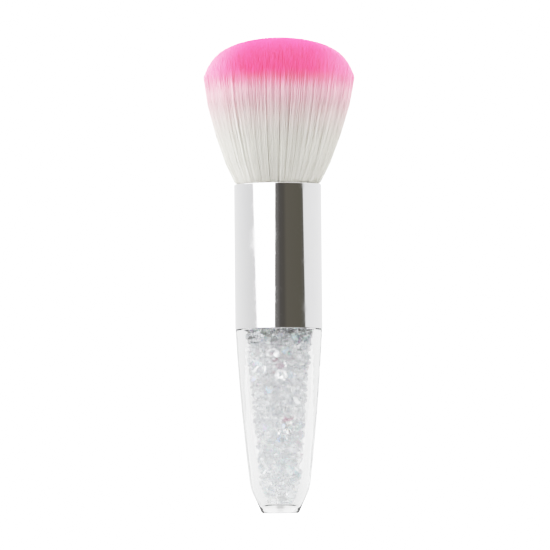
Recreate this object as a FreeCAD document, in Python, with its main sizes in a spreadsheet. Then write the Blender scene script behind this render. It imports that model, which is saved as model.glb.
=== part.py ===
"""Nail dust brush: a flared nylon tuft, a bright round ferrule and a clear grip filled with cut stones.

The brush stands on the flat end of its grip. The origin is the centre of that end and +Z runs along the
brush, up to the top of the bristles. Every driving size is a cell of the Sizes sheet, in millimetres.
"""

import FreeCAD, Part
import math
import os
import random
import re

import Sketcher
from FreeCAD import Placement, Rotation, Vector

SIZES = {
    # whole brush
    "overall_length": 120.0,
    # clear grip: what shows below the ferrule, from its flat base to its shoulder
    "grip_length": 46.3,
    "grip_bulge": 600.0,
    "grip_wall": 2.0,
    "grip_floor": 2.4,
    "nose_wall_rise": 0.22,
    "floor_wall_share": 0.65,
    "nose_diameter": 15.0,
    "nose_height": 6.3,
    "nose_round": 11.0,
    "base_diameter": 9.3,
    "base_round": 0.9,
    "floor_round": 0.8,
    "shoulder_step": 0.05,
    "shoulder_chamfer": 0.2,
    # spigot of the grip, which stands inside the ferrule
    "spigot_length": 11.0,
    "spigot_gap": 0.15,
    "glue_groove_width": 1.4,
    "glue_groove_depth": 0.5,
    "glue_groove_inset": 2.0,
    "glue_groove_count": 3.0,
    # cap that shuts the stones in
    "cap_depth": 6.0,
    "cap_wall": 1.2,
    "cap_fit": 0.05,
    "cap_flange": 1.2,
    "cap_lead_in_size": 0.4,
    # ferrule
    "ferrule_diameter": 22.0,
    "ferrule_length": 36.5,
    "ferrule_wall": 0.5,
    "rim_round": 0.22,
    # cup that the roots of the bristles are set in
    "cup_height": 15.0,
    "cup_wall": 0.8,
    "cup_floor": 1.5,
    "cup_recess": 2.0,
    "cup_fit": 0.05,
    "cup_lead_in_size": 0.4,
    "cup_groove_width": 2.0,
    "cup_groove_depth": 0.4,
    "cup_groove_height": 6.0,
    "resin_height": 3.0,
    # thread tied round the roots
    "thread_diameter": 0.6,
    "thread_pitch": 0.65,
    "thread_turns": 4.0,
    "thread_height": 1.5,
    "thread_slack": 0.03,
    # bristles
    "tuft_clearance": 0.1,
    "tuft_spill": 0.4,
    "tuft_spill_height": 1.0,
    "tuft_bulge": 110.0,
    "tuft_spread": 39.6,
    "tuft_dome_height": 7.8,
    "tuft_shoulder_round": 3.5,
    # cut stones
    "stone_diameter": 3.3,
    "stone_table": 1.9,
    "stone_crown": 0.55,
    "stone_pavilion": 1.35,
    "stone_culet": 0.1,
    "stone_gap": 0.03,
    "stone_wall_gap": 0.2,
}

FACETS = 8
# A stone is dropped in many places, and from the best it rolls and slides on, less at each nudge.
DROPS_PER_STONE = 100
NUDGES = 60
# How much higher a stone may lie for each mm that it lies farther out, so that stones line the wall.
OUTWARD_PULL = 0.3
# A first nudge's turn in degrees, its slide as a share of the stone, and the share left at the last.
NUDGE_TURN = 25
NUDGE_SHIFT = 0.3
LAST_NUDGE = 0.15
# How far stones lie from flat before they settle, as a spread in degrees.
TUMBLE = 40
FAILED_ROUNDS = 4
SEED = 7
# How near a round edge's size and height are to what is looked for, in mm.
EDGE_TOLERANCE = 1e-4
# A facet that rises less than this is upright.
UPRIGHT = 1e-6
IRIDESCENT_SHARE = 0.2
# Stones nearest to these places, as (x, y, z), are the few rose ones.
ROSE_PLACES = (
    (2.9, -5.6, 24.0),
    (1.2, -4.0, 38.5),
    (-4.5, 4.0, 33.0),
    (5.0, 3.5, 17.0),
    (-2.0, 6.5, 43.0),
)

GRIP_TOP_RADIUS = "(ferrule_diameter / 2 - shoulder_step)"
STONE_BORE_RADIUS = "(ferrule_diameter / 2 - shoulder_step - grip_wall)"
FERRULE_BORE_RADIUS = "(ferrule_diameter / 2 - ferrule_wall)"
SPIGOT_RADIUS = "(ferrule_diameter / 2 - ferrule_wall - spigot_gap)"
SPIGOT_TOP = "(grip_length + spigot_length)"
CAP_BOTTOM = "(grip_length + spigot_length - cap_depth)"
FERRULE_TOP = "(grip_length + ferrule_length)"
CUP_TOP = "(grip_length + ferrule_length - cup_recess)"
CUP_BOTTOM = "(grip_length + ferrule_length - cup_recess - cup_height)"
CUP_RADIUS = "(ferrule_diameter / 2 - ferrule_wall - cup_fit)"
CUP_BORE_RADIUS = "(ferrule_diameter / 2 - ferrule_wall - cup_fit - cup_wall)"
ROOT_BOTTOM = f"({CUP_BOTTOM} + cup_floor + resin_height)"
ROOT_RADIUS = f"({CUP_BORE_RADIUS} - thread_diameter - 2 * thread_slack)"
THREAD_BOTTOM = f"({ROOT_BOTTOM} + thread_height)"
THREAD_TOP = f"({THREAD_BOTTOM} + thread_pitch * thread_turns)"
GROOVE_FLOOR_RADIUS = f"({SPIGOT_RADIUS} - glue_groove_depth)"
GROOVE_BOTTOM = "(grip_length + glue_groove_inset)"
GROOVE_SPAN = "(spigot_length - 2 * glue_groove_inset - glue_groove_width)"
GROOVE_PITCH = f"({GROOVE_SPAN} / (glue_groove_count - 1))"
CUP_GROOVE_BOTTOM = f"({CUP_BOTTOM} + cup_groove_height)"
CUP_GROOVE_RADIUS = f"({CUP_RADIUS} - cup_groove_depth)"
INNER_NOSE_RADIUS = "(nose_diameter / 2 - grip_wall)"
INNER_NOSE_HEIGHT = "(nose_height + nose_wall_rise * grip_wall)"
INNER_FLOOR_RADIUS = "(base_diameter / 2 - floor_wall_share * grip_wall)"

H_AXIS, V_AXIS, ORIGIN = -1, -2, (-1, 1)

doc = FreeCAD.newDocument("nail_dust_brush")
sheet = doc.addObject("Spreadsheet::Sheet", "Sizes")


def fill_sheet():
    """Writes each size's name and value in a row of its own."""
    for row, (name, value) in enumerate(SIZES.items(), 1):
        sheet.set(f"A{row}", name)
        sheet.set(f"B{row}", str(value))
        sheet.setAlias(f"B{row}", name)
    doc.recompute()


def cells(text):
    """The expression with each size's name pointed at its cell of the sheet."""
    return re.sub(r"[a-z_]+", lambda word: f"Sizes.{word[0]}" if word[0] in SIZES else word[0], text)


def number(text):
    """What an expression of sizes comes to."""
    return float(sheet.evalExpression(cells(text)))


# ---------------------------------------------------------------- sketches and turned bodies


def origin_plane(body, role):
    """One of a body's own origin planes."""
    return next(plane for plane in body.Origin.OriginFeatures if plane.Role == role)


def new_sketch(body, name, role="XZ_Plane"):
    """An empty sketch on one of the body's origin planes."""
    sketch = body.newObject("Sketcher::SketchObject", name)
    sketch.AttachmentSupport = [(origin_plane(body, role), "")]
    sketch.MapMode = "FlatFace"
    return sketch


def pin_point(sketch, point, across, up):
    """Holds a sketch point at these distances from the origin."""
    for kind, text, axis in (("DistanceX", across, V_AXIS), ("DistanceY", up, H_AXIS)):
        if text == "0":
            sketch.addConstraint(Sketcher.Constraint("PointOnObject", *point, axis))
        else:
            made = sketch.addConstraint(Sketcher.Constraint(kind, *ORIGIN, *point, number(text)))
            sketch.setExpression(f"Constraints[{made}]", cells(text))


def arc_between(start, end, curve):
    """An arc from start to end. A positive radius puts its centre on the left of the way there."""
    run = end - start
    if curve == "axis":
        height = (end.y**2 - start.x**2 - start.y**2) / (2 * (end.y - start.y))
        centre, radius, turn = Vector(0, height, 0), end.y - height, 1
    else:
        radius, turn = abs(number(curve)), math.copysign(1, number(curve))
        left = Vector(-run.y, run.x, 0).normalize()
        centre = start + run / 2 + left * turn * math.sqrt(radius**2 - run.Length**2 / 4)
    angles = [math.atan2(p.y - centre.y, p.x - centre.x) for p in (start, end)][:: int(turn)]
    circle = Part.Circle(centre, Vector(0, 0, 1), radius)
    return Part.ArcOfCircle(circle, *angles), turn > 0


def draw_outline(sketch, outline):
    """Draws a closed outline of (across, up) points, or (across, up, radius of the arc that follows)."""
    points = [Vector(number(p[0]), number(p[1]), 0) for p in outline]
    ends = []
    for index, place in enumerate(outline):
        start, end = points[index], points[(index + 1) % len(points)]
        if len(place) == 2:
            edge = sketch.addGeometry(Part.LineSegment(start, end), False)
            ends.append(((edge, 1), (edge, 2)))
            continue
        arc, forwards = arc_between(start, end, place[2])
        edge = sketch.addGeometry(arc, False)
        ends.append(((edge, 1), (edge, 2)) if forwards else ((edge, 2), (edge, 1)))
        if place[2] == "axis":
            sketch.addConstraint(Sketcher.Constraint("PointOnObject", edge, 3, V_AXIS))
        else:
            made = sketch.addConstraint(Sketcher.Constraint("Radius", edge, abs(number(place[2]))))
            sketch.setExpression(f"Constraints[{made}]", cells(place[2].lstrip("-")))
    for index, place in enumerate(outline):
        sketch.addConstraint(Sketcher.Constraint("Coincident", *ends[index - 1][1], *ends[index][0]))
        pin_point(sketch, ends[index][0], place[0], place[1])


def turned_body(label, outline):
    """A body turned about Z from an outline of (radius, height) points."""
    body = doc.addObject("PartDesign::Body", label)
    sketch = new_sketch(body, f"{label}_outline")
    draw_outline(sketch, outline)
    turn = body.newObject("PartDesign::Revolution", f"{label}_turn")
    turn.Profile = sketch
    turn.ReferenceAxis = (sketch, ["V_Axis"])
    turn.Angle = 360.0
    doc.recompute()
    return body


def turned_groove(body, name, outline):
    """Cuts a ring of this section out of the body."""
    sketch = new_sketch(body, f"{name}_section")
    draw_outline(sketch, outline)
    groove = body.newObject("PartDesign::Groove", name)
    groove.Profile = sketch
    groove.ReferenceAxis = (sketch, ["V_Axis"])
    groove.Angle = 360.0
    doc.recompute()
    return groove


def rectangle(inner, outer, bottom, top):
    """The outline of a ring's section."""
    return [(inner, bottom), (outer, bottom), (outer, top), (inner, top)]


def dress_ring(body, kind, name, size, radius, height):
    """Rounds or chamfers the body's round edge at this radius and height."""
    tip = body.Tip
    edges = [
        f"Edge{index}"
        for index, edge in enumerate(tip.Shape.Edges, 1)
        if not edge.Degenerated
        and isinstance(edge.Curve, Part.Circle)
        and abs(edge.Curve.Radius - number(radius)) < EDGE_TOLERANCE
        and abs(edge.Curve.Center.z - number(height)) < EDGE_TOLERANCE
    ]
    if not edges:
        raise ValueError(f"{body.Label} has no round edge for {name}")
    dress = body.newObject(f"PartDesign::{kind}", name)
    dress.Base = (tip, edges)
    dress.setExpression("Radius" if kind == "Fillet" else "Size", cells(size))
    doc.recompute()


# ---------------------------------------------------------------- the grip


def make_grip():
    """The clear moulded grip: a tapering cup with a spigot that stands inside the ferrule."""
    body = turned_body(
        "grip_shell",
        [
            ("0", "0"),
            ("base_diameter / 2", "0"),
            ("nose_diameter / 2", "nose_height", "grip_bulge"),
            (GRIP_TOP_RADIUS, "grip_length"),
            (SPIGOT_RADIUS, "grip_length"),
            (SPIGOT_RADIUS, SPIGOT_TOP),
            (STONE_BORE_RADIUS, SPIGOT_TOP),
            (STONE_BORE_RADIUS, "grip_length", "-(grip_bulge - grip_wall)"),
            (INNER_NOSE_RADIUS, INNER_NOSE_HEIGHT),
            (INNER_FLOOR_RADIUS, "grip_floor"),
            ("0", "grip_floor"),
        ],
    )
    nose = ("nose_diameter / 2", "nose_height")
    dress_ring(body, "Fillet", "nose_fillet", "nose_round", *nose)
    dress_ring(body, "Fillet", "base_fillet", "base_round", "base_diameter / 2", "0")
    inner_nose = (INNER_NOSE_RADIUS, INNER_NOSE_HEIGHT)
    dress_ring(body, "Fillet", "inner_nose_fillet", "nose_round - grip_wall", *inner_nose)
    dress_ring(body, "Fillet", "floor_fillet", "floor_round", INNER_FLOOR_RADIUS, "grip_floor")
    shoulder = (GRIP_TOP_RADIUS, "grip_length")
    dress_ring(body, "Chamfer", "shoulder_bevel", "shoulder_chamfer", *shoulder)
    section = rectangle(
        GROOVE_FLOOR_RADIUS, SPIGOT_RADIUS, GROOVE_BOTTOM, f"{GROOVE_BOTTOM} + glue_groove_width"
    )
    groove = turned_groove(body, "glue_groove", section)
    pattern = body.newObject("PartDesign::LinearPattern", "glue_groove_row")
    pattern.Originals = [groove]
    pattern.Direction = (groove.Profile[0], ["V_Axis"])
    pattern.setExpression("Occurrences", cells("glue_groove_count"))
    pattern.setExpression("Length", cells(GROOVE_SPAN))
    body.Tip = pattern
    doc.recompute()
    return body


def ring_solid(name, inner, outer, bottom, height):
    """A plain ring: one cylinder cut out of another."""
    cylinders = []
    for part, radius in (("outside", outer), ("inside", inner)):
        cylinder = doc.addObject("Part::Cylinder", f"{name}_{part}")
        cylinder.setExpression("Radius", cells(radius))
        cylinder.setExpression("Height", cells(height))
        cylinder.setExpression("Placement.Base.z", cells(bottom))
        cylinders.append(cylinder)
    ring = doc.addObject("Part::Cut", name)
    ring.Base, ring.Tool = cylinders
    return ring


def together(label, pieces):
    """Separate solids that share one node."""
    group = doc.addObject("Part::Compound", label)
    group.Links = pieces
    return group


def make_grip_glue():
    """The rings of glue in the spigot's grooves, which hold the grip in the ferrule."""
    rings = [
        ring_solid(
            f"grip_glue_{index + 1}",
            GROOVE_FLOOR_RADIUS,
            FERRULE_BORE_RADIUS,
            f"{GROOVE_BOTTOM} + {index} * {GROOVE_PITCH}",
            "glue_groove_width",
        )
        for index in range(round(number("glue_groove_count")))
    ]
    return together("grip_glue_rings", rings)


def make_cap():
    """The flanged cap pressed in the spigot's mouth, hollow on top as moulded caps are."""
    flange_top = f"{SPIGOT_TOP} + cap_flange"
    hollow_radius = f"{STONE_BORE_RADIUS} - cap_fit - cap_wall"
    body = turned_body(
        "grip_cap",
        [
            ("0", CAP_BOTTOM),
            (f"{STONE_BORE_RADIUS} - cap_fit", CAP_BOTTOM),
            (f"{STONE_BORE_RADIUS} - cap_fit", SPIGOT_TOP),
            (SPIGOT_RADIUS, SPIGOT_TOP),
            (SPIGOT_RADIUS, flange_top),
            (hollow_radius, flange_top),
            (hollow_radius, f"{CAP_BOTTOM} + cap_wall"),
            ("0", f"{CAP_BOTTOM} + cap_wall"),
        ],
    )
    lead_in = (f"{STONE_BORE_RADIUS} - cap_fit", CAP_BOTTOM)
    dress_ring(body, "Chamfer", "cap_lead_in", "cap_lead_in_size", *lead_in)
    return body


# ---------------------------------------------------------------- the ferrule and the tuft


def make_ferrule():
    """The drawn metal tube, with its rims rolled smooth."""
    outer = "ferrule_diameter / 2"
    section = rectangle(FERRULE_BORE_RADIUS, outer, "grip_length", FERRULE_TOP)
    body = turned_body("ferrule", section)
    for height, name in ((FERRULE_TOP, "top"), ("grip_length", "bottom")):
        dress_ring(body, "Fillet", f"{name}_outer_rim", "rim_round", outer, height)
    dress_ring(body, "Fillet", "top_inner_rim", "rim_round", FERRULE_BORE_RADIUS, FERRULE_TOP)
    return body


def make_cup():
    """The moulded cup pressed in the ferrule, with a groove for its glue."""
    body = turned_body(
        "root_cup",
        [
            ("0", CUP_BOTTOM),
            (CUP_RADIUS, CUP_BOTTOM),
            (CUP_RADIUS, CUP_TOP),
            (CUP_BORE_RADIUS, CUP_TOP),
            (CUP_BORE_RADIUS, f"{CUP_BOTTOM} + cup_floor"),
            ("0", f"{CUP_BOTTOM} + cup_floor"),
        ],
    )
    dress_ring(body, "Chamfer", "cup_lead_in", "cup_lead_in_size", CUP_RADIUS, CUP_BOTTOM)
    groove_top = f"{CUP_GROOVE_BOTTOM} + cup_groove_width"
    section = rectangle(CUP_GROOVE_RADIUS, CUP_RADIUS, CUP_GROOVE_BOTTOM, groove_top)
    turned_groove(body, "cup_groove", section)
    return body


def make_cup_glue():
    """The ring of glue between the cup and the ferrule."""
    return ring_solid(
        "cup_glue_ring",
        CUP_GROOVE_RADIUS,
        FERRULE_BORE_RADIUS,
        CUP_GROOVE_BOTTOM,
        "cup_groove_width",
    )


def make_resin():
    """The disc of set resin that holds the ends of the bristles in the cup."""
    disc = doc.addObject("Part::Cylinder", "root_resin")
    disc.setExpression("Radius", cells(CUP_BORE_RADIUS))
    disc.setExpression("Height", cells("resin_height"))
    disc.setExpression("Placement.Base.z", cells(f"{CUP_BOTTOM} + cup_floor"))
    return disc


def make_thread():
    """The turns of thread tied round the roots, each a ring."""
    turns = []
    for index in range(round(number("thread_turns"))):
        turn = doc.addObject("Part::Torus", f"thread_turn_{index + 1}")
        turn.setExpression("Radius1", cells(f"{ROOT_RADIUS} + thread_diameter / 2 + thread_slack"))
        turn.setExpression("Radius2", cells("thread_diameter / 2"))
        height = f"{THREAD_BOTTOM} + thread_pitch * ({index} + 0.5)"
        turn.setExpression("Placement.Base.z", cells(height))
        turns.append(turn)
    return together("root_thread", turns)


def make_tuft():
    """The bristles as one solid: tied roots, a flare that spills over the ferrule's rim, and a dome."""
    corner = ("tuft_spread / 2", "overall_length - tuft_dome_height")
    body = turned_body(
        "bristle_tuft",
        [
            ("0", ROOT_BOTTOM),
            (ROOT_RADIUS, ROOT_BOTTOM),
            (ROOT_RADIUS, THREAD_TOP),
            (f"{CUP_BORE_RADIUS} - thread_slack", CUP_TOP),
            (f"{FERRULE_BORE_RADIUS} - tuft_clearance", FERRULE_TOP),
            ("ferrule_diameter / 2 + tuft_spill", f"{FERRULE_TOP} + tuft_spill_height", "tuft_bulge"),
            (*corner, "axis"),
            ("0", "overall_length"),
        ],
    )
    dress_ring(body, "Fillet", "tuft_shoulder", "tuft_shoulder_round", *corner)
    return body


# ---------------------------------------------------------------- the stones


def make_stone_cut():
    """The cut of one stone: a shallow crown over a deep pavilion, both eight-sided, girdle at Z 0."""
    body = doc.addObject("PartDesign::Body", "stone_cut")
    sketch = new_sketch(body, "girdle", "XY_Plane")
    radius = number("stone_diameter / 2")
    turn = 2 * math.pi / FACETS
    ways = [turn * index for index in range(FACETS)]
    corners = [Vector(radius * math.cos(way), radius * math.sin(way), 0) for way in ways]
    for index, corner in enumerate(corners):
        sketch.addGeometry(Part.LineSegment(corner, corners[(index + 1) % FACETS]), False)
    circle = sketch.addGeometry(Part.Circle(Vector(0, 0, 0), Vector(0, 0, 1), radius), True)
    sketch.addConstraint(Sketcher.Constraint("Coincident", circle, 3, *ORIGIN))
    for index in range(FACETS):
        sketch.addConstraint(Sketcher.Constraint("Coincident", index, 2, (index + 1) % FACETS, 1))
        sketch.addConstraint(Sketcher.Constraint("PointOnObject", index, 1, circle))
    for index in range(1, FACETS):
        sketch.addConstraint(Sketcher.Constraint("Equal", 0, index))
    sketch.addConstraint(Sketcher.Constraint("PointOnObject", 0, 1, H_AXIS))
    made = sketch.addConstraint(Sketcher.Constraint("Diameter", circle, 2 * radius))
    sketch.setExpression(f"Constraints[{made}]", cells("stone_diameter"))
    flat = f"cos({180 / FACETS} deg) / 2"
    for name, depth, face in (
        ("crown", "stone_crown", "stone_table"),
        ("pavilion", "stone_pavilion", "stone_culet"),
    ):
        pad = body.newObject("PartDesign::Pad", name)
        pad.Profile = sketch
        pad.Reversed = name == "pavilion"
        pad.setExpression("Length", cells(depth))
        pad.setExpression("TaperAngle", cells(f"-atan((stone_diameter - {face}) * {flat} / {depth})"))
        doc.recompute()
    return body


class Stone:
    """One stone turned its own way, before it has a place: its corners and its facets' planes."""

    def __init__(self, cut, rotation):
        self.rotation = rotation
        self.place = Vector(0, 0, 0)
        self.corners = [rotation.multVec(v) for v in cut.corners]
        self.planes = [(rotation.multVec(normal), depth) for normal, depth in cut.planes]
        self.top = max(corner.z for corner in self.corners)


class Cut:
    """The shape that every stone shares."""

    def __init__(self, shape):
        outlines = [face.OuterWire.OrderedVertexes for face in shape.Faces]
        self.facets = [[vertex.Point for vertex in outline] for outline in outlines]
        self.corners = [vertex.Point for vertex in shape.Vertexes]
        self.reach = max(corner.Length for corner in self.corners)
        self.planes = []
        for face in shape.Faces:
            u0, u1, v0, v1 = face.ParameterRange
            normal = face.normalAt((u0 + u1) / 2, (v0 + v1) / 2)
            self.planes.append((normal, normal.dot(face.CenterOfMass)))

    def solid(self, stone):
        """The solid of a stone that has its place, with a true plane for each facet."""
        faces = [Part.Face(Part.makePolygon([*facet, facet[0]])) for facet in self.facets]
        made = Part.makeSolid(Part.makeShell(faces))
        made.Placement = Placement(stone.place, stone.rotation)
        return made


def clear_height(stone, spot, other, gap, height):
    """How low the stone can come down over spot before it meets another, stopping at this height."""
    above, below = math.inf, -math.inf
    for normal, depth in other.planes:
        reach = min(map(normal.dot, stone.corners)) + normal.dot(spot)
        room = reach - depth - gap - normal.dot(other.place)
        above, below = narrow(above, below, room, normal.z)
        if above <= max(height, below):
            return height
    for normal, depth in stone.planes:
        reach = min(map(normal.dot, other.corners)) + normal.dot(other.place)
        room = reach - depth - gap - normal.dot(spot)
        above, below = narrow(above, below, room, -normal.z)
        if above <= max(height, below):
            return height
    return above


def narrow(above, below, room, rise):
    """The heights above and below which two stones are apart, after one more facet's plane."""
    if abs(rise) < UPRIGHT:
        return (above, below) if room < 0 else (-math.inf, math.inf)
    if rise > 0:
        return min(above, -room / rise), below
    return above, max(below, -room / rise)


class Bore:
    """The space for the stones: a nose cone, the long taper's cone and the spigot's bore, less a gap."""

    def __init__(self):
        gap = number("stone_wall_gap")
        self.radius = number(STONE_BORE_RADIUS) - gap
        self.floor = number("grip_floor") + gap
        self.stone_gap = number("stone_gap")
        self.ceiling = number(CAP_BOTTOM) - self.stone_gap
        floor_radius = number(INNER_FLOOR_RADIUS) - gap
        nose_radius = number(INNER_NOSE_RADIUS) - gap
        nose_height = number(INNER_NOSE_HEIGHT)
        self.cones = []
        for radius, height, wide, high in (
            (floor_radius, number("grip_floor"), nose_radius, nose_height),
            (nose_radius, nose_height, self.radius, number("grip_length")),
        ):
            self.cones.append((radius, height, (wide - radius) / (high - height)))

    def rest_height(self, stone, spot):
        """How low the stone can come down over spot before it meets the wall. None outside the bore."""
        lowest = -math.inf
        for corner in stone.corners:
            away = math.hypot(spot.x + corner.x, spot.y + corner.y)
            if away > self.radius:
                return None
            walls = [(away - radius) / slope + height for radius, height, slope in self.cones]
            lowest = max(lowest, self.floor - corner.z, *(wall - corner.z for wall in walls))
        return lowest


def drop(stone, spot, bore, poured, reach, gap, limit):
    """The height at which a stone dropped over spot comes to rest. None at the limit or above it."""
    height = bore.rest_height(stone, spot)
    for other in reversed(poured):
        if height is None or height >= limit:
            return None
        span = 4 * reach**2 - (other.place.x - spot.x) ** 2 - (other.place.y - spot.y) ** 2
        if span > 0 and other.place.z + math.sqrt(span) + gap > height:
            height = clear_height(stone, spot, other, gap, height)
    return height


def tumbled(cut, chance):
    """A stone that has tumbled to lie more or less flat, on its table or on its point."""
    turn = chance.uniform(0, 2 * math.pi)
    tilt = chance.gauss(chance.choice((0, 180)), TUMBLE)
    spin = Rotation(Vector(0, 0, 1), chance.uniform(0, 360))
    return Stone(cut, Rotation(Vector(math.cos(turn), math.sin(turn), 0), tilt) * spin)


def nudged(cut, stone, share, chance):
    """A copy of a stone that has rolled and slid a little, by this share of a full nudge."""
    axis = Vector(*(chance.gauss(0, 1) for _ in range(3)))
    roll = Rotation(axis, chance.gauss(0, NUDGE_TURN * share))
    slide = cut.reach * NUDGE_SHIFT * share
    moved = Stone(cut, roll * stone.rotation)
    moved.place = Vector(stone.place.x + chance.gauss(0, slide), stone.place.y + chance.gauss(0, slide), 0)
    return moved


def scattered(cut, bore, chance):
    """A tumbled stone over a random spot of the bore."""
    stone = tumbled(cut, chance)
    away = bore.radius * math.sqrt(chance.random())
    angle = chance.uniform(0, 2 * math.pi)
    stone.place = Vector(away * math.cos(angle), away * math.sin(angle), 0)
    return stone


def settled(cut, bore, poured, chance):
    """The stone that comes to rest lowest and farthest out of many tries. None if there is no room."""
    best, least = None, math.inf
    for index in range(DROPS_PER_STONE + NUDGES):
        left = 1 - (index - DROPS_PER_STONE) / NUDGES
        if index < DROPS_PER_STONE:
            stone = scattered(cut, bore, chance)
        elif best:
            stone = nudged(cut, best, max(left, LAST_NUDGE), chance)
        else:
            return None
        outward = OUTWARD_PULL * math.hypot(stone.place.x, stone.place.y)
        limit = min(least + outward, bore.ceiling - stone.top)
        height = drop(stone, stone.place, bore, poured, cut.reach, bore.stone_gap, limit)
        if height is not None and height < limit:
            stone.place.z = height
            best, least = stone, height - outward
    return best


def pour_stones(cut):
    """Pours stones in the bore one at a time until it is full."""
    bore = Bore()
    chance = random.Random(SEED)
    poured, failed = [], 0
    while failed < FAILED_ROUNDS:
        stone = settled(cut, bore, poured, chance)
        if stone:
            poured.append(stone)
        failed = 0 if stone else failed + 1
    return poured


def make_stones(cut_body):
    """The stones of each kind, each kind in a node of its own as separate solids."""
    cut = Cut(cut_body.Shape)
    poured = pour_stones(cut)
    chance = random.Random(SEED + 1)
    kinds = {}
    for stone in poured:
        coated = chance.random() < IRIDESCENT_SHARE
        kinds[stone] = "stones_iridescent" if coated else "stones_clear"
    for place in ROSE_PLACES:
        nearest = min(poured, key=lambda stone: (stone.place - Vector(*place)).Length)
        kinds[nearest] = "stones_rose"
    nodes = []
    for label in ("stones_clear", "stones_iridescent", "stones_rose"):
        node = doc.addObject("Part::Feature", label)
        node.Shape = Part.makeCompound([cut.solid(stone) for stone in poured if kinds[stone] == label])
        nodes.append(node)
    return nodes


# ---------------------------------------------------------------- build, check and write


def main():
    """Builds every sub-part, checks the whole document and writes one STEP file for each."""
    fill_sheet()
    nodes = [
        make_grip(),
        make_grip_glue(),
        make_cap(),
        make_ferrule(),
        make_cup(),
        make_cup_glue(),
        make_resin(),
        make_thread(),
        make_tuft(),
        *make_stones(make_stone_cut()),
    ]
    doc.recompute()
    for item in doc.Objects:
        if {"Invalid", "Error"} & set(item.State):
            raise RuntimeError(f"{item.Label} failed: {item.State}")
    os.makedirs("parts", exist_ok=True)
    for node in nodes:
        shape = node.Shape
        if shape.isNull() or not shape.isValid() or not shape.Solids:
            raise RuntimeError(f"{node.Label} has no valid solid")
        shape.exportStep(f"parts/{node.Label}.step")
        print(f"{node.Label}: {len(shape.Solids)} solids, {shape.Volume:.1f} mm3")


main()
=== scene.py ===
"""Looks for a nail dust brush.

The tuft is nylon with pink tips, the ferrule is bright metal, and the clear grip is full of cut stones.
"""

import logging
import math
from dataclasses import dataclass
from enum import Enum
from typing import Any

import bmesh
import bpy
import numpy as np
from mathutils import Matrix, Vector


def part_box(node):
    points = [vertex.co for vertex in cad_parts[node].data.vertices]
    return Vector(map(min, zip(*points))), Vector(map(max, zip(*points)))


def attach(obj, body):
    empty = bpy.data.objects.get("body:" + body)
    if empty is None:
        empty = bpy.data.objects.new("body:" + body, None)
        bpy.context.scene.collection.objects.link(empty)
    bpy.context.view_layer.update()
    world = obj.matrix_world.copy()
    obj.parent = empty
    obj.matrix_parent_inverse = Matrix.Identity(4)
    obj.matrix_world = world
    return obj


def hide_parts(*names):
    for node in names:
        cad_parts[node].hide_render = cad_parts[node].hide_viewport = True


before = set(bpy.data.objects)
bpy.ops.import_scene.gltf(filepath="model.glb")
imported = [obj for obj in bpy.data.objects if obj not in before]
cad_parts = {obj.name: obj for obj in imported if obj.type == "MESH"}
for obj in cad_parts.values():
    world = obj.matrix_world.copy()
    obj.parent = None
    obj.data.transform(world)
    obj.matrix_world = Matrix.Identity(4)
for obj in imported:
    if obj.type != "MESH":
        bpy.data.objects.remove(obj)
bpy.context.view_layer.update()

LOG = logging.getLogger("nail_dust_brush")
MM = 0.001
BODY = "root"
Colour = tuple[float, float, float]
Span = tuple[float, float]
WHITE: Colour = (1.0, 1.0, 1.0)
# Where a Mix node for colours has its factor, its two colours and its result.
MIX_INPUTS = (0, 6, 7)
MIX_RESULT = 2
# Which of a view's curves bends all three colours together.
COMBINED_CURVE = 3


class Blend(Enum):
    """The ways in which one colour is mixed into another."""

    MIX = "MIX"
    MULTIPLY = "MULTIPLY"


# ---------------------------------------------------------------- shader trees


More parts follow.
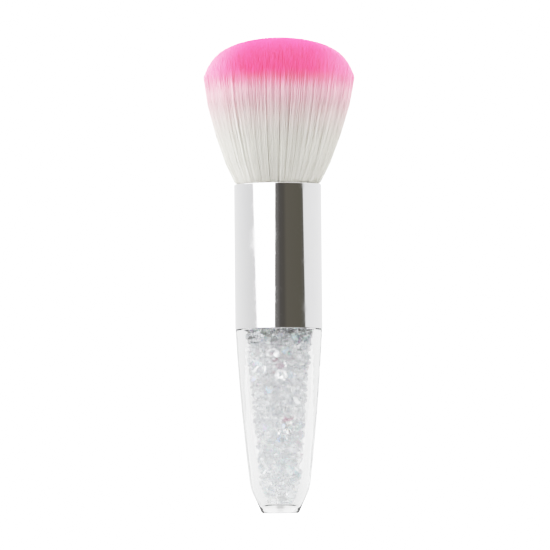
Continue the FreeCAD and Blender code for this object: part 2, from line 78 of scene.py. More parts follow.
class Tree:
    """Short ways to add and join the nodes of one shader tree."""

    def __init__(self, tree: bpy.types.NodeTree) -> None:
        """Starts with an empty tree.

        Args:
            tree: the tree to fill.
        """
        self.tree = tree
        tree.nodes.clear()

    def add(
        self, kind: str, inputs: dict[str | int, Any] | None = None, **settings: Any
    ) -> bpy.types.Node:
        """Adds a node.

        Args:
            kind: the node's type without its ShaderNode prefix.
            inputs: a value, or an output to link, for each named or numbered input.
            settings: properties of the node itself.

        Returns:
            The new node.
        """
        node = self.tree.nodes.new(f"ShaderNode{kind}")
        for name, value in settings.items():
            setattr(node, name, value)
        for name, value in (inputs or {}).items():
            self.feed(node.inputs[name], value)
        return node

    def feed(self, socket: bpy.types.NodeSocket, value: Any) -> None:
        """Links an output to an input, or sets the input's value.

        Args:
            socket: the input.
            value: an output, a number, or a colour of three parts.
        """
        if isinstance(value, bpy.types.NodeSocket):
            self.tree.links.new(value, socket)
        elif socket.type == "RGBA":
            socket.default_value = (*value, 1.0)
        else:
            socket.default_value = value

    def maths(self, operation: str, *values: Any, clamp: bool = False) -> bpy.types.NodeSocket:
        """Adds a Math node.

        Args:
            operation: its operation.
            values: a value or an output for each input.
            clamp: whether the result is held between 0 and 1.

        Returns:
            Its result.
        """
        node = self.add("Math", dict(enumerate(values)), operation=operation, use_clamp=clamp)
        return node.outputs[0]

    def ramp(self, factor: Any, stops: list[tuple[float, Colour]]) -> bpy.types.NodeSocket:
        """Adds a colour ramp.

        Args:
            factor: what drives it, from 0 to 1.
            stops: each stop's place and colour, lowest place first.

        Returns:
            The ramp's colour.
        """
        node = self.add("ValToRGB", {"Fac": factor})
        ramp = node.color_ramp
        while len(ramp.elements) < len(stops):
            ramp.elements.new(1.0)
        for element, (place, colour) in zip(ramp.elements, stops):
            element.position = place
            element.color = (*colour, 1.0)
        return node.outputs["Color"]

    def mix(
        self, factor: Any, low: Any, high: Any, blend: Blend = Blend.MIX
    ) -> bpy.types.NodeSocket:
        """Adds a colour mix.

        Args:
            factor: its share of high.
            low: the colour or output at factor 0.
            high: the colour or output at factor 1.
            blend: how the two are mixed.

        Returns:
            The mixed colour.
        """
        inputs = dict(zip(MIX_INPUTS, (factor, low, high)))
        return self.add("Mix", inputs, data_type="RGBA", blend_type=blend.value).outputs[MIX_RESULT]

    def span(self, value: Any, low: float, high: float) -> bpy.types.NodeSocket:
        """Maps a value smoothly to a share, which is 0 up to low and 1 from high on.

        Args:
            value: the value or output to map.
            low: the value that gives 0.
            high: the value that gives 1.

        Returns:
            The mapped value.
        """
        inputs = {"Value": value, "From Min": low, "From Max": high}
        return self.add("MapRange", inputs, interpolation_type="SMOOTHSTEP").outputs[0]

    def bump(self, height: Any, depth: float) -> bpy.types.NodeSocket:
        """Turns a height into a normal; depth is the height's size in metres."""
        return self.add("Bump", {"Height": height, "Distance": depth}).outputs[0]


class Effect(Tree):
    """A node group for an effect that several finishes share, whose inputs and outputs are numbers."""

    def __init__(self, name: str, takes: dict[str, float], gives: tuple[str, ...]) -> None:
        """Starts with only the group's own input and output nodes.

        Args:
            name: the group's name.
            takes: each input's name and default.
            gives: each output's name.
        """
        self.group = bpy.data.node_groups.new(name, "ShaderNodeTree")
        super().__init__(self.group)
        for socket, default in takes.items():
            made = self.group.interface.new_socket(
                socket, in_out="INPUT", socket_type="NodeSocketFloat"
            )
            made.default_value = default
        for socket in gives:
            self.group.interface.new_socket(socket, in_out="OUTPUT", socket_type="NodeSocketFloat")
        self.taken = self.group.nodes.new("NodeGroupInput").outputs
        self.given = self.group.nodes.new("NodeGroupOutput").inputs


@dataclass
class Effects:
    """The node groups that more than one finish uses, each made once; scales are in marks per metre."""

    smudge_scale: float = 150.0
    smudge_edge: Span = (0.45, 0.75)
    smudge_height: float = 0.3
    scratch_scale: float = 2500.0
    scratch_edge: Span = (0.68, 0.78)
    scratch_stretch: float = 0.03
    grain_scale: float = 900.0
    tone_scale: float = 180.0

    def __post_init__(self) -> None:
        """Makes every group."""
        self.marks = self.handling_marks()
        self.grain = self.moulded_grain()

    def handling_marks(self) -> bpy.types.NodeTree:
        """Finger smudges and hairline scratches along the brush.

        Returns:
            A group that gives a smudge mask, a scratch mask and a height.
        """
        takes = {"Smudge Scale": self.smudge_scale, "Scratch Scale": self.scratch_scale}
        tree = Effect("handling_marks", takes, ("Smudge", "Scratch", "Height"))
        place = tree.add("TexCoord").outputs["Object"]
        smudge = tree.add(
            "TexNoise",
            {"Vector": place, "Scale": tree.taken["Smudge Scale"], "Detail": 5.0, "Roughness": 0.62},
        )
        stretched = tree.add("Mapping", {"Vector": place, "Scale": (1.0, 1.0, self.scratch_stretch)})
        hairline = tree.add(
            "TexNoise",
            {"Vector": stretched.outputs[0], "Scale": tree.taken["Scratch Scale"], "Detail": 2.0},
        )
        smudged = tree.span(smudge.outputs["Fac"], *self.smudge_edge)
        scratched = tree.span(hairline.outputs["Fac"], *self.scratch_edge)
        height = tree.maths("MULTIPLY_ADD", smudged, self.smudge_height, scratched)
        tree.feed(tree.given["Smudge"], smudged)
        tree.feed(tree.given["Scratch"], scratched)
        tree.feed(tree.given["Height"], height)
        return tree.group

    def moulded_grain(self) -> bpy.types.NodeTree:
        """The slightly uneven skin of a small moulding or of set glue.

        Returns:
            A group that gives a tone and a height.
        """
        tree = Effect("moulded_grain", {"Scale": self.grain_scale}, ("Tone", "Height"))
        place = tree.add("TexCoord").outputs["Object"]
        fine = tree.add("TexNoise", {"Vector": place, "Scale": tree.taken["Scale"], "Detail": 4.0})
        broad = tree.add("TexNoise", {"Vector": place, "Scale": self.tone_scale, "Detail": 2.0})
        tree.feed(tree.given["Tone"], broad.outputs["Fac"])
        tree.feed(tree.given["Height"], fine.outputs["Fac"])
        return tree.group


# ---------------------------------------------------------------- finishes


@dataclass(frozen=True)
class Finish:
    """A finish: a material's name and the way its shader is built."""

    name: str

    def material(self, effects: Effects) -> bpy.types.Material:
        """Builds the finish's material.

        Args:
            effects: the shared node groups.

        Returns:
            The material.
        """
        made = bpy.data.materials.new(self.name)
        made.use_nodes = True
        tree = Tree(made.node_tree)
        shader = tree.add("BsdfPrincipled")
        self.fill(tree, shader, effects)
        tree.add("OutputMaterial", {"Surface": self.surface(tree, shader)})
        return made

    def surface(self, tree: Tree, shader: bpy.types.Node) -> bpy.types.NodeSocket:
        """Gives the surface that the material shows, which is its Principled shader alone."""
        return shader.outputs[0]

    def fill(self, tree: Tree, shader: bpy.types.Node, effects: Effects) -> None:
        """Sets the shader's sockets and adds what feeds them.

        Args:
            tree: the material's tree.
            shader: its Principled shader.
            effects: the shared node groups.
        """
        raise NotImplementedError

    def set(self, tree: Tree, shader: bpy.types.Node, **values: Any) -> None:
        """Sets or links the shader's sockets, named with _ for each space.

        Args:
            tree: the material's tree.
            shader: its Principled shader.
            values: a value or an output for each socket.
        """
        for name, value in values.items():
            tree.feed(shader.inputs[name.replace("_", " ")], value)


@dataclass(frozen=True)
class BrightPlate(Finish):
    """Mirror plating on a drawn tube, with faint draw lines, hairlines and smudges."""

    tint: Colour = (0.93, 0.93, 0.94)
    dulled: Colour = (0.86, 0.86, 0.87)
    polish: float = 0.035
    smudge_scale: float = 140.0
    smudge_tint: float = 0.25
    smudge_roughness: float = 0.10
    scratch_scale: float = 5200.0
    scratch_roughness: float = 0.06
    mark_depth: float = 0.0006 * MM
    wave_scale: float = 120.0
    wave_stretch: float = 0.12
    wave_depth: float = 0.025 * MM

    def fill(self, tree: Tree, shader: bpy.types.Node, effects: Effects) -> None:
        """Sets the metal's sockets.

        Args:
            tree: the material's tree.
            shader: its Principled shader.
            effects: the shared node groups.
        """
        scales = {"Smudge Scale": self.smudge_scale, "Scratch Scale": self.scratch_scale}
        marks = tree.add("Group", scales, node_tree=effects.marks).outputs
        place = tree.add("TexCoord").outputs["Object"]
        drawn = tree.add("Mapping", {"Vector": place, "Scale": (1.0, 1.0, self.wave_stretch)})
        wave = tree.add(
            "TexNoise", {"Vector": drawn.outputs[0], "Scale": self.wave_scale, "Detail": 1.0}
        )
        waved = tree.bump(wave.outputs["Fac"], self.wave_depth)
        heights = {"Height": marks["Height"], "Distance": self.mark_depth, "Normal": waved}
        normal = tree.add("Bump", heights).outputs[0]
        worn = tree.maths("MULTIPLY_ADD", marks["Smudge"], self.smudge_roughness, self.polish)
        rough = tree.maths("MULTIPLY_ADD", marks["Scratch"], self.scratch_roughness, worn)
        smudged = tree.maths("MULTIPLY", marks["Smudge"], self.smudge_tint)
        tint = tree.mix(smudged, self.tint, self.dulled)
        self.set(tree, shader, Base_Color=tint, Metallic=1.0, Roughness=rough, Normal=normal)


@dataclass(frozen=True)
class ClearAcrylic(Finish):
    """Polished clear acrylic with faint smudges and moulding ripples."""

    tint: Colour = (0.985, 0.99, 0.99)
    dulled: Colour = (0.96, 0.965, 0.97)
    polish: float = 0.01
    refraction: float = 1.49
    smudge_scale: float = 110.0
    smudge_tint: float = 0.2
    smudge_roughness: float = 0.03
    ripple_scale: float = 90.0
    ripple_depth: float = 0.05 * MM

    def fill(self, tree: Tree, shader: bpy.types.Node, effects: Effects) -> None:
        """Sets the acrylic's sockets.

        Args:
            tree: the material's tree.
            shader: its Principled shader.
            effects: the shared node groups.
        """
        scales = {"Smudge Scale": self.smudge_scale}
        smudge = tree.add("Group", scales, node_tree=effects.marks).outputs["Smudge"]
        place = tree.add("TexCoord").outputs["Object"]
        ripple = tree.add("TexNoise", {"Vector": place, "Scale": self.ripple_scale, "Detail": 1.0})
        normal = tree.bump(ripple.outputs["Fac"], self.ripple_depth)
        rough = tree.maths("MULTIPLY_ADD", smudge, self.smudge_roughness, self.polish)
        tint = tree.mix(tree.maths("MULTIPLY", smudge, self.smudge_tint), self.tint, self.dulled)
        self.set(tree, shader, Base_Color=tint, Roughness=rough, Normal=normal)
        self.set(tree, shader, Metallic=0.0, Transmission_Weight=1.0, IOR=self.refraction)


@dataclass(frozen=True)
class CutStone(Finish):
    """A cut acrylic stone whose tint drifts a little from stone to stone.

    A film is a coating that shows colours, and its thickness is in nanometres.
    """

    tint: Colour = (0.988, 0.992, 0.996)
    drift: Colour = (0.968, 0.975, 0.985)
    drift_scale: float = 260.0
    drift_edge: Span = (0.35, 0.65)
    frost: float = 0.12
    smudge_scale: float = 400.0
    smudge_roughness: float = 0.05
    refraction: float = 1.50
    film: float = 0.0
    film_refraction: float = 1.8

    def fill(self, tree: Tree, shader: bpy.types.Node, effects: Effects) -> None:
        """Sets the stone's sockets.

        Args:
            tree: the material's tree.
            shader: its Principled shader.
            effects: the shared node groups.
        """
        place = tree.add("TexCoord").outputs["Object"]
        patch = tree.add("TexNoise", {"Vector": place, "Scale": self.drift_scale, "Detail": 0.0})
        tint = tree.mix(tree.span(patch.outputs["Fac"], *self.drift_edge), self.tint, self.drift)
        scales = {"Smudge Scale": self.smudge_scale}
        smudge = tree.add("Group", scales, node_tree=effects.marks).outputs["Smudge"]
        rough = tree.maths("MULTIPLY_ADD", smudge, self.smudge_roughness, self.frost)
        self.set(tree, shader, Base_Color=tint, Roughness=rough)
        self.set(tree, shader, Metallic=0.0, Transmission_Weight=1.0, IOR=self.refraction)
        if self.film:
            self.set(
                tree, shader, Thin_Film_Thickness=self.film, Thin_Film_IOR=self.film_refraction
            )


@dataclass(frozen=True)
class DyedNylon(Finish):
    """White nylon filament, dyed from its tips down to a soft, uneven line.

    Below the line a faint blush runs on, and towards the tuft's left and right sides a painted pale sheen
    lies over the dye, standing in for light there.
    """

    white: Colour = (0.918, 0.907, 0.864)
    dye: Colour = (0.995, 0.14, 0.36)
    # Painted sheen: the pale pink that stands in for light at the tuft's left and right sides.
    painted_sheen: Colour = (0.99, 0.40, 0.58)
    blush: Colour = (0.958, 0.64, 0.72)
    line: float = 108.1 * MM
    line_softness: float = 3.1 * MM
    drift_scale: float = 320.0
    drift_reach: float = 1.2 * MM
    tone_reach: float = 0.6 * MM
    tone_shade: float = 0.02
    blush_depth: float = 23.0 * MM
    blush_power: float = 3.4
    # Where the painted sheen at the tuft's sides is centred, where it starts and ends, and the scale and
    # reach of its uneven patches.
    sheen_centre: float = 1.2 * MM
    sheen_start: float = 6.5 * MM
    sheen_end: float = 21.0 * MM
    sheen_patch_scale: float = 110.0
    sheen_patch_reach: float = 5.0 * MM
    roughness: float = 0.42
    refraction: float = 1.45
    specular: float = 0.40
    see_through: float = 0.36
    through_pale: float = 0.30

    def fill(self, tree: Tree, shader: bpy.types.Node, effects: Effects) -> None:
        """Sets the filament's sockets.

        Args:
            tree: the material's tree.
            shader: its Principled shader.
            effects: the shared node groups, not used here.
        """
        place = tree.add("TexCoord").outputs["Object"]
        apart = tree.add("SeparateXYZ", {0: place}).outputs
        tone = tree.add("Attribute", attribute_name="tone").outputs["Fac"]
        # The dye, with painted sheen towards the tuft's left and right sides that stands in for light
        # there.
        dye = tree.mix(self.painted_sheen_share(tree, place, apart["X"]), self.dye, self.painted_sheen)
        drift = tree.add("TexNoise", {"Vector": place, "Scale": self.drift_scale, "Detail": 2.0})
        wander = tree.maths("MULTIPLY_ADD", drift.outputs["Fac"], self.drift_reach, apart["Z"])
        level = tree.maths("MULTIPLY_ADD", tone, self.tone_reach, wander)
        middle = self.line + (self.drift_reach + self.tone_reach) / 2
        near = tree.span(level, middle - self.blush_depth, middle)
        pale = tree.mix(tree.maths("POWER", near, self.blush_power), self.white, self.blush)
        shade = tree.maths("MULTIPLY_ADD", tone, self.tone_shade, 1 - self.tone_shade)
        toned = tree.mix(1.0, pale, shade, Blend.MULTIPLY)
        dyed = tree.span(level, middle - self.line_softness, middle + self.line_softness)
        self.set(tree, shader, Base_Color=tree.mix(dyed, toned, dye), Roughness=self.roughness)
        self.set(tree, shader, IOR=self.refraction, Specular_IOR_Level=self.specular)

    def painted_sheen_share(self, tree: Tree, place: Any, across: Any) -> bpy.types.NodeSocket:
        """Tells how much painted sheen pales the dye, in uneven patches towards the tuft's two sides,
        standing in for light there.

        Args:
            tree: the material's tree.
            place: the point on the piece.
            across: how far the point lies across the tuft.

        Returns:
            The share of the painted sheen colour.
        """
        # Painted sheen: paler the farther across the tuft from its centre, towards its left and right
        # sides.
        aside = tree.maths("ABSOLUTE", tree.maths("SUBTRACT", across, self.sheen_centre))
        patch = tree.add("TexNoise", {"Vector": place, "Scale": self.sheen_patch_scale, "Detail": 1.0})
        out = tree.maths("MULTIPLY_ADD", patch.outputs["Fac"], self.sheen_patch_reach, aside)
        shift = self.sheen_patch_reach / 2
        return tree.span(out, self.sheen_start + shift, self.sheen_end + shift)

    def surface(self, tree: Tree, shader: bpy.types.Node) -> bpy.types.NodeSocket:
        """Lets part of the light through the filament.

        Args:
            tree: the material's tree.
            shader: its Principled shader.

        Returns:
            The mixed surface.
        """
        colour = shader.inputs["Base Color"].links[0].from_socket
        paler = tree.mix(self.through_pale, colour, WHITE)
        through = tree.add("BsdfTranslucent", {"Color": paler}).outputs[0]
        shares = {0: self.see_through, 1: shader.outputs[0], 2: through}
        return tree.add("MixShader", shares).outputs[0]


@dataclass(frozen=True)
class Moulded(Finish):
    """A small moulding or a bead of set glue, with a slightly uneven skin."""

    tint: Colour = (0.86, 0.86, 0.84)
    deep: Colour = (0.80, 0.80, 0.77)
    tone_edge: Span = (0.4, 0.6)
    rough: float = 0.45
    rough_spread: float = 0.2
    grain: float = 900.0
    grain_depth: float = 0.01 * MM

    def fill(self, tree: Tree, shader: bpy.types.Node, effects: Effects) -> None:
        """Sets the moulding's sockets.

        Args:
            tree: the material's tree.
            shader: its Principled shader.
            effects: the shared node groups.
        """
        skin = tree.add("Group", {"Scale": self.grain}, node_tree=effects.grain).outputs
        tint = tree.mix(tree.span(skin["Tone"], *self.tone_edge), self.tint, self.deep)
        smoothest = self.rough - self.rough_spread / 2
        rough = tree.maths("MULTIPLY_ADD", skin["Tone"], self.rough_spread, smoothest)
        normal = tree.bump(skin["Height"], self.grain_depth)
        self.set(tree, shader, Base_Color=tint, Roughness=rough, Normal=normal)


# ---------------------------------------------------------------- the bristles


@dataclass
class Tuft:
    """The bristles, one by one: tied roots, a flare out of the ferrule and a cropped dome.

    A filament's share is how far out from the axis it stands, from 0 to 1 at the tuft's side. Each one runs
    through the rings, which are shares of its way from the ferrule's rim to its tip.
    """

    filaments: int = 26000
    pieces: int = 6
    outward: float = 0.42
    share_jitter: float = 0.004
    turn_jitter: float = 0.02
    thickness: float = 0.125 * MM
    tip_share: float = 0.55
    sides: int = 3
    root_radius: float = 8.9 * MM
    mouth_gap: float = 0.6 * MM
    flare_radius: float = 11.4 * MM
    flare_height: float = 1.0 * MM
    bulge: float = 110.0 * MM
    dome_height: float = 7.8 * MM
    shoulder_radius: float = 19.75 * MM
    widest: float = 19.25 * MM
    widest_round: float = 0.45 * MM
    crown_drop: float = 5.1 * MM
    edge_drop: float = 4.8 * MM
    edge_power: float = 8.0
    lean: float = 0.6 * MM
    spill: float = 0.7 * MM
    wander: float = 0.10 * MM
    wander_power: float = 1.5
    clump_share: float = 0.005
    clump_power: float = 1.2
    clump_tone: float = 0.5
    clumps: int = 700
    search_blocks: int = 40
    uneven: float = 0.22 * MM
    stray_share: float = 0.004
    stray_wander: float = 0.6 * MM
    rings: tuple[float, ...] = (0.03, 0.20, 0.46, 0.74, 1.0)
    map_width: float = 0.985
    map_strand: float = 0.012
    map_margin: float = 0.001
    seed: int = 5

    def __post_init__(self) -> None:
        """Reads the places of the ferrule and the CAD tuft from the frame."""
        low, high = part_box("bristle_tuft")
        self.root = low.z
        self.top = high.z
        self.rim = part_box("ferrule")[1].z
        self.mouth_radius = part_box("ferrule")[1].x - self.mouth_gap
        self.shoulder = self.top - self.dome_height

    def side(self, height: np.ndarray) -> np.ndarray:
        """The tuft's outer radius above the rim: an arc from the flare, held back at the widest.

        Args:
            height: heights in the frame, in metres.

        Returns:
            The radius at each height.
        """
        start = np.array([self.flare_radius, self.rim + self.flare_height])
        end = np.array([self.shoulder_radius, self.shoulder])
        run = end - start
        length = float(np.hypot(*run))
        inward = np.array([-run[1], run[0]]) / length
        centre = (start + end) / 2 + inward * math.sqrt(self.bulge**2 - length**2 / 4)
        arc = centre[0] + np.sqrt(self.bulge**2 - (height - centre[1]) ** 2)
        step = self.flare_radius - self.mouth_radius
        past = (self.widest - arc) / self.widest_round
        held = self.widest - self.widest_round * np.logaddexp(0, past)
        return held - step * np.exp(-np.clip(height - self.rim, 0, None) / self.spill)

    def crop(self, share: np.ndarray) -> np.ndarray:
        """The height that the tips are cropped to.

        Args:
            share: each filament's share of the way out from the axis.

        Returns:
            The dome's height over each filament.
        """
        return self.top - self.crown_drop * share**2 - self.edge_drop * share**self.edge_power

    def strand(self) -> bpy.types.Mesh:
        """Makes one straight filament of unit height: a slim closed taper with a ring at each bend.

        Returns:
            Its mesh.
        """
        bm = bmesh.new()
        bmesh.ops.create_cone(
            bm,
            cap_ends=True,
            segments=self.sides,
            radius1=0.5,
            radius2=0.5 * self.tip_share,
            depth=1.0,
        )
        upright = [e for e in bm.edges if abs(e.verts[0].co.z - e.verts[1].co.z) > 0.5]
        bmesh.ops.subdivide_edges(bm, edges=upright, cuts=len(self.rings), use_grid_fill=True)
        bmesh.ops.translate(bm, verts=bm.verts, vec=(0.0, 0.0, 0.5))
        for face in bm.faces:
            face.smooth = True
        mesh = bpy.data.meshes.new("filament")
        bm.to_mesh(mesh)
        bm.free()
        return mesh

    def copies(self, mesh: bpy.types.Mesh, count: int) -> bpy.types.Mesh:
        """Repeats a mesh in place.

        Args:
            mesh: the mesh to repeat.
            count: how many there are in the end.

        Returns:
            One mesh with every copy, each copy's vertices in a run.
        """
        holder = bpy.data.objects.new("filament_row", mesh)
        bpy.context.scene.collection.objects.link(holder)
        array = holder.modifiers.new("row", "ARRAY")
        array.count = count
        array.relative_offset_displace = (0.0, 0.0, 0.0)
        graph = bpy.context.evaluated_depsgraph_get()
        made = bpy.data.meshes.new_from_object(holder.evaluated_get(graph))
        bpy.data.objects.remove(holder)
        return made

    def lay_out(self) -> tuple[np.ndarray, np.ndarray, np.ndarray]:
        """Works out where every filament runs.

        Returns:
            Each filament's centre at each ring, its angle round the axis and its tone.
        """
        rng = np.random.default_rng(self.seed)
        index = np.arange(self.filaments)
        share = ((index + 0.5) / self.filaments) ** self.outward
        spiral = index * math.pi * (3 - math.sqrt(5))
        angle = (spiral + rng.normal(0, self.turn_jitter, index.size)) % (2 * math.pi)
        share = np.clip(share + rng.normal(0, self.share_jitter, index.size), 0, 1)
        around = np.stack([np.cos(angle), np.sin(angle)], 1)
        spread = rng.normal(0, self.wander, (index.size, 2))
        stray = rng.random(index.size) < self.stray_share
        spread[stray] = rng.normal(0, self.stray_wander, (int(stray.sum()), 2))
        places = around * share[:, None]
        centres = places[rng.choice(index.size, self.clumps, replace=False)]
        nearest = self.nearest(places, centres)
        pull = (centres[nearest] - places) * self.clump_share * self.shoulder_radius
        tip = self.crop(share) - np.abs(rng.normal(0, self.uneven, index.size))
        own, shared = rng.random(index.size), rng.random(self.clumps)[nearest]
        tone = (1 - self.clump_tone) * own + self.clump_tone * shared
        levels = [np.full(index.size, self.root), np.full(index.size, self.rim)]
        radii = [share * self.root_radius, share * self.mouth_radius]
        drift = [np.zeros((index.size, 2)), np.zeros((index.size, 2))]
        for ring in self.rings:
            level = self.rim + (tip - self.rim) * ring
            levels.append(level)
            radii.append(share * self.side(level))
            strayed = spread * ring**self.wander_power + pull * ring**self.clump_power
            drift.append(strayed + np.array([self.lean, 0.0]) * ring)
        levels, radii, drift = np.array(levels), np.array(radii), np.array(drift)
        flat = radii[:, :, None] * around[None] + drift
        centre = np.concatenate([flat, levels[:, :, None]], 2).transpose(1, 0, 2)
        return centre, angle, tone

    def nearest(self, places: np.ndarray, centres: np.ndarray) -> np.ndarray:
        """Finds the clump that each place belongs to.

        Args:
            places: points in the plane.
            centres: the clumps' middles.

        Returns:
            The number of the nearest middle for each place.
        """
        found = [
            np.argmin(((block[:, None] - centres[None]) ** 2).sum(2), 1)
            for block in np.array_split(places, self.search_blocks)
        ]
        return np.concatenate(found)

    def build(self, material: bpy.types.Material) -> list[bpy.types.Object]:
        """Builds the bristles as several pieces, each a wedge of the tuft.

        Args:
            material: the bristles' material.

        Returns:
            The pieces.
        """
        strand = self.strand()
        shape = np.array([v.co for v in strand.vertices])
        ring = np.rint(shape[:, 2] * (len(self.rings) + 1)).astype(int)
        centre, angle, tone = self.lay_out()
        wedge = (angle / (2 * math.pi) * self.pieces).astype(int)
        rng = np.random.default_rng(self.seed + 1)
        made = []
        for number in range(self.pieces):
            chosen = np.flatnonzero(wedge == number)
            mesh = self.copies(strand, chosen.size)
            turn = rng.uniform(0, 2 * math.pi, chosen.size)
            cos, sin = np.cos(turn)[:, None], np.sin(turn)[:, None]
            across = shape[None, :, 0] * cos - shape[None, :, 1] * sin
            along = shape[None, :, 0] * sin + shape[None, :, 1] * cos
            points = centre[chosen][:, ring]
            points[:, :, 0] += across * self.thickness
            points[:, :, 1] += along * self.thickness
            mesh.vertices.foreach_set("co", points.astype(np.float32).ravel())
            self.paint(mesh, points, shape, angle[chosen], tone[chosen], number)
            mesh.update()
            mesh.materials.clear()
            mesh.materials.append(material)
            piece = bpy.data.objects.new(f"bristles_{number + 1}", mesh)
            bpy.context.scene.collection.objects.link(piece)
            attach(piece, BODY)
            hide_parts("bristle_tuft")
            made.append(piece)
        return made

    def paint(
        self,
        mesh: bpy.types.Mesh,
        points: np.ndarray,
        shape: np.ndarray,
        angle: np.ndarray,
        tone: np.ndarray,
        number: int,
    ) -> None:
        """Gives a wedge its tone attribute and a map that unrolls it, each filament on its own strip.

        Args:
            mesh: the wedge's mesh.
            points: its vertices, by filament.
            shape: the vertices of one straight filament.
            angle: each filament's angle round the axis.
            tone: each filament's tone.
            number: which wedge it is.
        """
        attribute = mesh.attributes.new("tone", "FLOAT", "POINT")
        attribute.data.foreach_set("value", np.repeat(tone, len(shape)).astype(np.float32))
        across = angle / (2 * math.pi) * self.pieces - number
        strip = 0.5 + shape[:, 0]
        u = across[:, None] * self.map_width + strip[None] * self.map_strand
        v = (points[:, :, 2] - self.root) / (self.top - self.root)
        v = np.clip(v, self.map_margin, 1 - self.map_margin)
        of_point = np.stack([u.ravel(), v.ravel()], 1)
        corner = np.zeros(len(mesh.loops), np.int64)
        mesh.loops.foreach_get("vertex_index", corner)
        layer = mesh.uv_layers.new(name="OFBake")
        layer.uv.foreach_set("vector", of_point[corner].astype(np.float32).ravel())


# ---------------------------------------------------------------- carried-over pieces


@dataclass
class CadPieces:
    """The pieces that keep their CAD shape, each with a finish of its own."""

    finishes: dict[str, Finish]

    def dress(self, effects: Effects) -> list[bpy.types.Object]:
        """Gives every carried-over node its material.

        Args:
            effects: the shared node groups.

        Returns:
            The pieces.
        """
        made: dict[str, bpy.types.Material] = {}
        for node, finish in self.finishes.items():
            if finish.name not in made:
                made[finish.name] = finish.material(effects)
            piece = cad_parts[node]
            piece.data.materials.clear()
            piece.data.materials.append(made[finish.name])
        return [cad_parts[node] for node in self.finishes]


# ---------------------------------------------------------------- the studio


@dataclass(frozen=True)
class Softbox:
    """A soft square lamp that points at the brush: its place, its width and its power in watts."""

    name: str
    place: tuple[float, float, float]
    width: float
    power: float


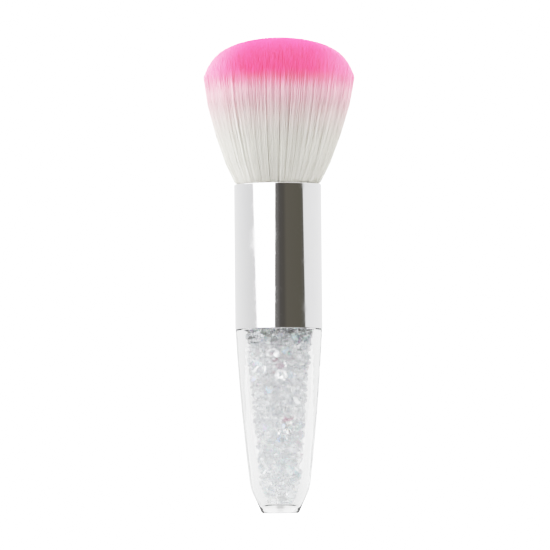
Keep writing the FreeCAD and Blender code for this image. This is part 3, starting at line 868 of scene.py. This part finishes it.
@dataclass
class Studio:
    """A pale floor, soft light from a bright room, and a long lens low in front of the brush.

    Azimuths are in degrees from the camera, positive to the right, as seen at mirror_level. A room edge is
    its azimuth and its lean, which is how fast it drifts to the left as it rises.
    """

    distance: float = 1.2
    camera_height: float = 8.0 * MM
    aim_height: float = 60.0 * MM
    aim_across: float = -0.85 * MM
    view_width: float = 138.4 * MM
    lean_degrees: float = 0.5
    sensor: float = 36.0
    clip: Span = (0.05, 20.0)
    floor_radius: float = 1.5
    floor_sides: int = 96
    floor_tints: tuple[Colour, Colour] = ((0.12, 0.12, 0.12), (0.14, 0.14, 0.14))
    floor_cloud: float = 14.0
    floor_roughness: float = 0.7
    # How brightly the floor glows, and how much more where the camera sees it straight.
    floor_light: float = 0.64
    floor_glow: float = 3.0
    backdrop: float = 3.2
    mirror_level: float = 0.047
    mirror_reach: float = 0.12
    screen_edge: Span = (-62.9, 5.4)
    doorway_left: Span = (-9.2, -2.2)
    doorway_right: Span = (72.4, 2.7)
    edge_softness: float = 1.6
    # How bright each amount of light is shown, on a scale where 1 is white.
    tones: tuple[Span, ...] = (
        (0.0, 0.0),
        (0.35, 0.35),
        (0.7, 0.66),
        (1.1, 0.83),
        (1.6, 0.93),
        (3.0, 1.0),
    )
    # How bright each part of the room is. The walls and the doorway change from azimuth to azimuth, and the
    # ceiling and the ground fade in over a span of heights.
    back_wall: float = 0.60
    back_wall_edge: float = 176.0
    ceiling: float = 1.40
    ceiling_span: Span = (0.25, 0.75)
    ground: float = 0.75
    ground_span: Span = (-0.45, -0.9)
    screen: float = 3.2
    left_wall: tuple[Span, ...] = (
        (-170.0, 1.15),
        (-139.0, 1.02),
        (-106.0, 0.90),
        (-83.0, 0.81),
        (-63.0, 0.76),
    )
    right_wall: tuple[Span, ...] = ((72.0, 0.90), (85.0, 0.94), (130.0, 1.02), (170.0, 1.15))
    doorway: tuple[tuple[float, Colour], ...] = (
        (-9.0, (0.190, 0.185, 0.180)),
        (-1.0, (0.150, 0.143, 0.138)),
        (4.0, (0.082, 0.077, 0.070)),
        (14.0, (0.080, 0.074, 0.064)),
        (22.0, (0.112, 0.103, 0.082)),
        (60.0, (0.104, 0.096, 0.074)),
        (72.0, (0.115, 0.110, 0.095)),
    )
    # How much brighter the room is through clear pieces.
    through_gain: float = 0.15
    softboxes: tuple[Softbox, ...] = (
        Softbox("left_softbox", (-1.0, 0.35, 0.35), 0.7, 19.0),
        Softbox("right_softbox", (1.0, 0.35, 0.35), 0.7, 19.0),
        Softbox("overhead_softbox", (0.0, -0.75, 0.95), 0.7, 17.0),
        Softbox("back_softbox", (0.0, 0.9, 0.45), 0.8, 26.0),
    )
    max_bounces: int = 64
    transmission_bounces: int = 56
    glossy_bounces: int = 12
    diffuse_bounces: int = 32

    def camera(self) -> None:
        """Makes the camera, turned a little about its own axis, as the brush leans in view."""
        data = bpy.data.cameras.new("camera")
        data.sensor_width = self.sensor
        data.lens = self.sensor * self.distance / self.view_width
        data.clip_start, data.clip_end = self.clip
        camera = bpy.data.objects.new("camera", data)
        bpy.context.scene.collection.objects.link(camera)
        aim = Vector((self.aim_across, 0.0, self.aim_height))
        place = Vector((self.aim_across, -self.distance, self.camera_height))
        turned = (aim - place).to_track_quat("-Z", "Y").to_matrix()
        rolled = turned @ Matrix.Rotation(-math.radians(self.lean_degrees), 3, "Z")
        camera.matrix_world = Matrix.Translation(place) @ rolled.to_4x4()
        bpy.context.scene.camera = camera

    def floor(self) -> None:
        """Makes the pale floor that the brush stands on."""
        bm = bmesh.new()
        bmesh.ops.create_circle(
            bm, cap_ends=True, segments=self.floor_sides, radius=self.floor_radius
        )
        mesh = bpy.data.meshes.new("floor")
        bm.to_mesh(mesh)
        bm.free()
        made = bpy.data.materials.new("pale_floor")
        made.use_nodes = True
        tree = Tree(made.node_tree)
        place = tree.add("TexCoord").outputs["Object"]
        cloud = tree.add("TexNoise", {"Vector": place, "Scale": self.floor_cloud, "Detail": 3.0})
        tint = tree.mix(cloud.outputs["Fac"], *self.floor_tints)
        seen = tree.add("LightPath").outputs["Is Camera Ray"]
        lit = tree.maths("MULTIPLY_ADD", seen, self.floor_glow, self.floor_light)
        inputs = {
            "Base Color": tint,
            "Roughness": self.floor_roughness,
            "Emission Color": WHITE,
            "Emission Strength": lit,
        }
        shader = tree.add("BsdfPrincipled", inputs)
        tree.add("OutputMaterial", {"Surface": shader.outputs[0]})
        mesh.materials.append(made)
        piece = bpy.data.objects.new("floor", mesh)
        piece.visible_glossy = False
        bpy.context.scene.collection.objects.link(piece)

    def room(self) -> None:
        """Makes the bright room round the brush: pale walls, one white screen and one dark doorway."""
        world = bpy.data.worlds.new("room")
        world.use_nodes = True
        bpy.context.scene.world = world
        tree = Tree(world.node_tree)
        way = tree.add("SeparateXYZ", {0: tree.add("TexCoord").outputs["Generated"]})
        toward = tree.maths("MULTIPLY", way.outputs["Y"], -1.0)
        azimuth = tree.maths("ARCTAN2", way.outputs["X"], toward)
        turn = tree.maths("MULTIPLY_ADD", azimuth, 1 / (2 * math.pi), 0.5, clamp=True)
        rise = tree.maths("SUBTRACT", way.outputs["Z"], self.mirror_level)
        rise = tree.maths("MAXIMUM", rise, -self.mirror_reach)
        rise = tree.maths("MINIMUM", rise, self.mirror_reach)
        start, back = self.back_wall_edge, self.back_wall
        left = [(-180.0, back), (-start, back), *self.left_wall]
        right = [*self.right_wall, (start, back), (180.0, back)]
        shades = [(degrees, (shade,) * 3) for degrees, shade in left + right]
        walls = tree.ramp(turn, self.stops(shades))
        dark = tree.ramp(turn, self.stops(self.doorway))
        round_room = walls
        for edge, beyond in (
            (self.screen_edge, (self.screen,) * 3),
            (self.doorway_left, dark),
            (self.doorway_right, walls),
        ):
            round_room = tree.mix(self.past(tree, azimuth, rise, edge), round_room, beyond)
        above = tree.span(way.outputs["Z"], *self.ceiling_span)
        below = tree.span(way.outputs["Z"], *self.ground_span)
        roofed = tree.mix(above, round_room, (self.ceiling,) * 3)
        whole = tree.mix(below, roofed, (self.ground,) * 3)
        path = tree.add("LightPath").outputs
        colour = tree.mix(path["Is Camera Ray"], whole, (self.backdrop,) * 3)
        gain = tree.maths("MULTIPLY_ADD", path["Is Transmission Ray"], self.through_gain, 1.0)
        shader = tree.add("Background", {"Color": colour, "Strength": gain})
        tree.add("OutputWorld", {"Surface": shader.outputs[0]})

    def stops(self, shades: Any) -> list[tuple[float, Colour]]:
        """Turns pairs of an azimuth in degrees and a colour into a ramp's stops."""
        return [((degrees + 180) / 360, colour) for degrees, colour in shades]

    def past(self, tree: Tree, azimuth: Any, rise: Any, edge: Span) -> bpy.types.NodeSocket:
        """Tells which side of an upright edge in the room a direction lies on.

        Args:
            tree: the world's tree.
            azimuth: the direction's azimuth in radians.
            rise: its height over the mirror level.
            edge: the edge's azimuth in degrees and its lean.

        Returns:
            0 to the left of the edge and 1 to its right, with a soft step between.
        """
        degrees, lean = edge
        leaned = tree.maths("MULTIPLY_ADD", rise, lean, azimuth)
        low = math.radians(degrees - self.edge_softness)
        high = math.radians(degrees + self.edge_softness)
        return tree.span(leaned, low, high)

    def lamp(self, softbox: Softbox) -> None:
        """Adds a lamp that clear and bright pieces don't show.

        Args:
            softbox: what it is and where it stands.
        """
        data = bpy.data.lights.new(softbox.name, "AREA")
        data.shape = "SQUARE"
        data.size = softbox.width
        data.energy = softbox.power
        lamp = bpy.data.objects.new(softbox.name, data)
        bpy.context.scene.collection.objects.link(lamp)
        place = Vector(softbox.place)
        aim = Vector((0.0, 0.0, self.aim_height))
        lamp.location = place
        lamp.rotation_mode = "QUATERNION"
        lamp.rotation_quaternion = (aim - place).to_track_quat("-Z", "Y")
        lamp.visible_camera = False
        lamp.visible_glossy = False
        lamp.visible_transmission = False

    def tone(self, scene: bpy.types.Scene) -> None:
        """Rolls bright tones off softly towards white, as film does.

        Args:
            scene: the scene whose view is set.
        """
        view = scene.view_settings
        view.view_transform = "Standard"
        view.use_curve_mapping = True
        mapping = view.curve_mapping
        mapping.extend = "HORIZONTAL"
        white = self.tones[-1][0]
        mapping.white_level = (white, white, white)
        curve = mapping.curves[COMBINED_CURVE]
        curve.points[0].location = self.tones[0]
        curve.points[1].location = (1.0, self.tones[-1][1])
        for light, shown in self.tones[1:-1]:
            curve.points.new(light / white, shown)
        mapping.update()

    def build(self) -> None:
        """Sets up the floor, the room, the lamps, the camera and how light is followed."""
        self.floor()
        self.room()
        for softbox in self.softboxes:
            self.lamp(softbox)
        self.camera()
        scene = bpy.context.scene
        self.tone(scene)
        scene.cycles.max_bounces = self.max_bounces
        scene.cycles.transmission_bounces = self.transmission_bounces
        scene.cycles.glossy_bounces = self.glossy_bounces
        scene.cycles.diffuse_bounces = self.diffuse_bounces


def main() -> None:
    """Builds the looks of the brush and the studio round it."""
    logging.basicConfig(level=logging.INFO, format="%(name)s: %(message)s")
    effects = Effects()
    plastic = Moulded("white_plastic")
    glue = Moulded("set_glue", tint=(0.86, 0.80, 0.62), deep=(0.78, 0.70, 0.50), rough=0.25)
    thread = Moulded("waxed_thread", tint=(0.85, 0.84, 0.80), grain=3000.0, rough=0.6)
    coated = CutStone("iridescent_stone", drift=(0.88, 0.95, 0.96), film=330.0)
    rose = CutStone("rose_stone", tint=(0.96, 0.72, 0.79), drift=(0.95, 0.76, 0.82))
    kept = CadPieces(
        {
            "grip_shell": ClearAcrylic("clear_acrylic"),
            "grip_glue_rings": glue,
            "grip_cap": plastic,
            "ferrule": BrightPlate("bright_plate"),
            "root_cup": plastic,
            "cup_glue_ring": glue,
            "root_resin": glue,
            "root_thread": thread,
            "stones_clear": CutStone("clear_stone"),
            "stones_iridescent": coated,
            "stones_rose": rose,
        }
    )
    tuft = Tuft()
    nylon = DyedNylon("dyed_nylon").material(effects)
    for piece in kept.dress(effects) + tuft.build(nylon):
        mesh = piece.data
        LOG.info("%s: %s, %d faces", piece.name, mesh.materials[0].name, len(mesh.polygons))
    Studio().build()


if __name__ == "__main__":
    main()
